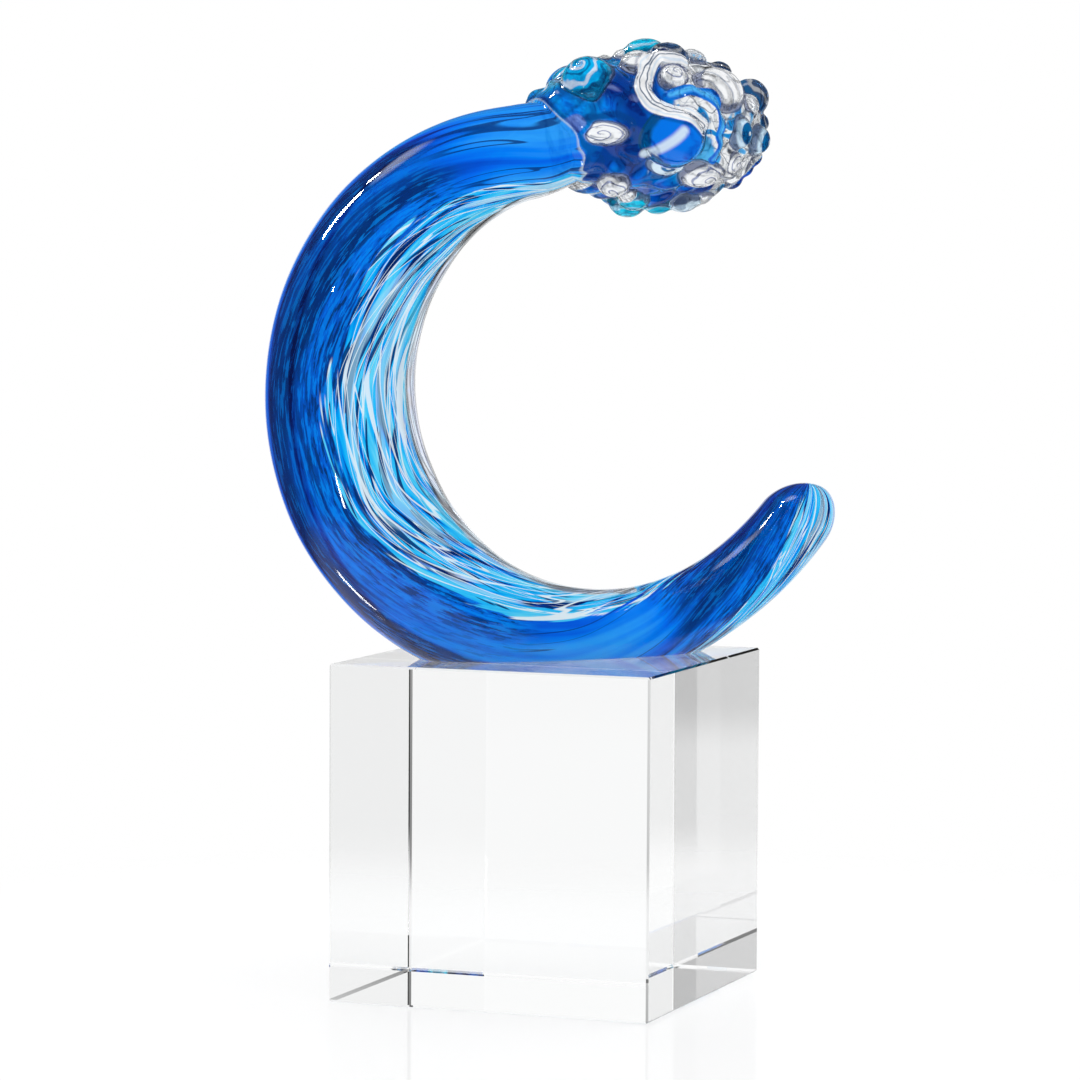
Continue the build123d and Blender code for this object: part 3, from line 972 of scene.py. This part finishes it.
# The camera's axes are a level pair turned by its yaw, tilted by its pitch and then rolled.
def makeCamera():
    yaw, pitch, roll = (math.radians(camera[key]) for key in ("yaw", "pitch", "roll"))
    flat = math.cos(pitch)
    ahead = np.array([-math.sin(yaw) * flat, math.cos(yaw) * flat, -math.sin(pitch)])
    level = np.array([math.cos(yaw), math.sin(yaw), 0.0])
    above = np.cross(level, ahead)
    right = math.cos(roll) * level + math.sin(roll) * above
    up = -math.sin(roll) * level + math.cos(roll) * above
    data = bpy.data.cameras.new("camera")
    data.sensor_width, data.lens = camera["film"], camera["lens"]
    data.clip_start, data.clip_end = 0.05, 50
    piece = bpy.data.objects.new("camera", data)
    scene.collection.objects.link(piece)
    setAxes(piece, right, up, -ahead, camera["place"])
    scene.camera = piece


# Studio
studio = {
    # middle (degrees from +Y towards +X), half width, softness and shade of each flag
    "flags": [
        (-22.5, 5, 3, 0.03), (-4, 1.5, 1, 0.30), (53, 2, 1.5, 0.05), (68, 3, 1.5, 0.93),
        (94.5, 1.5, 1, 0.05), (112.5, 6, 3, 0.03), (157.5, 6, 3, 0.03), (202.5, 5.5, 2, 0.03),
        (245, 9, 2, 0.50), (292.5, 6, 3, 0.03),
    ],
    "flagHeights": (0.6, 0.8),  # how far from a height of 0.1 the flags fade out
    "ring": (0.60, 0.66, 0.74, 0.80),  # heights where the dark ring overhead comes and goes
    "ringShade": 0.05,
    "roomShade": 0.10,
    "roomGap": 246.0,  # where, under lowEdge, the cube shows the foot of a light wall
    "lowEdge": -6.4,
    "lowShade": 0.76,
    "softbox": 5.0,  # strength of the soft box overhead, which only gloss shows
    "softboxPlace": (-34.0, 66.0, 8.0),  # middle (azimuth, height) and half width, in degrees
    "glossPlace": (38.0, 34.0),  # the white wall that gloss shows: middle and half width
}


# A grey between black and white.
def grey(level):
    return (level, level, level)


# The level direction at an azimuth in radians, raised by a height.
def aim(azimuth, height=0.0):
    return math.sin(azimuth) * math.cos(height), math.cos(azimuth) * math.cos(height), math.sin(height)


# White studio, with dark flags that stand upright round the object, so that glass has
# dark edges seen from any side. The camera itself sees plain white.
def makeWorld():
    world = bpy.data.worlds.new("studio")
    scene.world = world
    world.use_nodes = True
    tree = Tree(world.node_tree)
    direction = tree.add("ShaderNodeTexCoord")
    white = grey(1.0)

    def towards(axis):
        return tree.add("ShaderNodeVectorMath", {"operation": "DOT_PRODUCT"}, [direction, axis], "Value")

    height = towards((0, 0, 1))
    azimuth = towards((1, 0, 0)).math("ARCTAN2", towards((0, 1, 0))) * (0.5 / math.pi) + 0.5
    stops = []
    for middle, half, soft, shade in studio["flags"]:
        for degrees, level in ((-half - soft, 1.0), (-half, shade), (half, shade), (half + soft, 1.0)):
            stops.append((((middle + degrees + 180) % 360) / 360, grey(level)))
    stops.sort()
    cut = len(stops) // 2  # one ramp can't hold them all
    firstRamp, secondRamp = tree.ramp(azimuth, stops[:cut]), tree.ramp(azimuth, stops[cut:])
    flags = tree.blend(azimuth.band(stops[cut - 1][0], stops[cut][0]), firstRamp, secondRamp)
    shade = tree.blend(1 - abs(height - 0.1).band(*studio["flagHeights"]), white, flags)
    start, full, fade, end = studio["ring"]
    ring = height.band(start, full) * (1 - height.band(fade, end))
    shade = tree.blend(ring * 0.9, shade, grey(studio["ringShade"]))
    inGap = towards(aim(math.radians(studio["roomGap"]))).band(0.960, 0.975)
    low = math.sin(math.radians(studio["lowEdge"]))
    foot = (1 - height.band(low - 0.006, low + 0.006)) * inGap
    shade = tree.blend(foot, shade, grey(studio["lowShade"]))

    # gloss sees a dark room with one white wall and a soft box overhead
    isGloss = tree.ray("Is Glossy Ray") * (1 - tree.ray("Is Transmission Ray"))
    middle, half = (math.radians(v) for v in studio["glossPlace"])
    wall = towards(aim(middle)).band(math.cos(half) - 0.04, math.cos(half) + 0.02)
    room = 1 - wall * (1 - height.band(0.18, 0.28))
    shade = tree.blend(isGloss * room, shade, grey(studio["roomShade"]))
    middle, over, half = (math.radians(v) for v in studio["softboxPlace"])
    box = towards(aim(middle, over)).band(math.cos(half) - 0.01, math.cos(half) + 0.01)
    shade = tree.blend(isGloss * box, shade, grey(studio["softbox"]))
    for kind in ("Is Camera Ray", "Is Diffuse Ray"):
        shade = tree.blend(tree.ray(kind), shade, white)
    background = tree.add("ShaderNodeBackground", None, {"Color": shade, "Strength": 1.0})
    surfaceOutput(tree, background, "ShaderNodeOutputWorld")


# name, place, the point it faces, width, height (metres) and watts
windows = [
    ("left_window", (-0.75, 0.62, 1.17), (0, 0, 0.2), 0.10, 0.42, 24.0),
    ("top_window", (-0.50, 0.64, 1.36), (0, 0, 0.2), 0.05, 0.12, 3.0),
    ("low_window", (-0.265, -0.255, 0.02), (-0.08, 0, 0.165), 0.012, 0.06, 0.15),
    ("side_window", (-1.20, -0.86, 0.93), (0, 0, 0.26), 0.05, 0.05, 2.0),
]


# A window that shows in the gloss of the glass alone.
def makeWindow(name, place, target, width, height, watts):
    data = bpy.data.lights.new(name, "AREA")
    data.shape = "RECTANGLE"
    data.size, data.size_y, data.energy = width, height, watts
    piece = bpy.data.objects.new(name, data)
    piece.visible_diffuse = False
    piece.visible_camera = False
    piece.visible_transmission = False
    scene.collection.objects.link(piece)
    ahead = np.subtract(target, place)
    ahead = ahead / np.linalg.norm(ahead)
    right = np.cross(ahead, [0, 0, 1.0])
    right /= np.linalg.norm(right)
    setAxes(piece, right, np.cross(right, ahead), -ahead, place)


# Build
makeCamera()
makeWorld()
makeFloor()
for window in windows:
    makeWindow(*window)
print("stage set")

wavePiece = makeWave(waveGlass())
frothNodes = [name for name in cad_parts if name.startswith("froth_bead")]
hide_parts("curl_cobalt", "curl_turquoise", "curl_clear", "bond_film",
            "crest_cobalt", "crest_clear", *frothNodes)
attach(wavePiece, "root")
print("wave made", len(wavePiece.data.vertices), len(wavePiece.data.polygons))

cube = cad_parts["base_cube"]
cube.data.materials.clear()
cube.data.materials.append(crystal())
print("cube given its crystal")
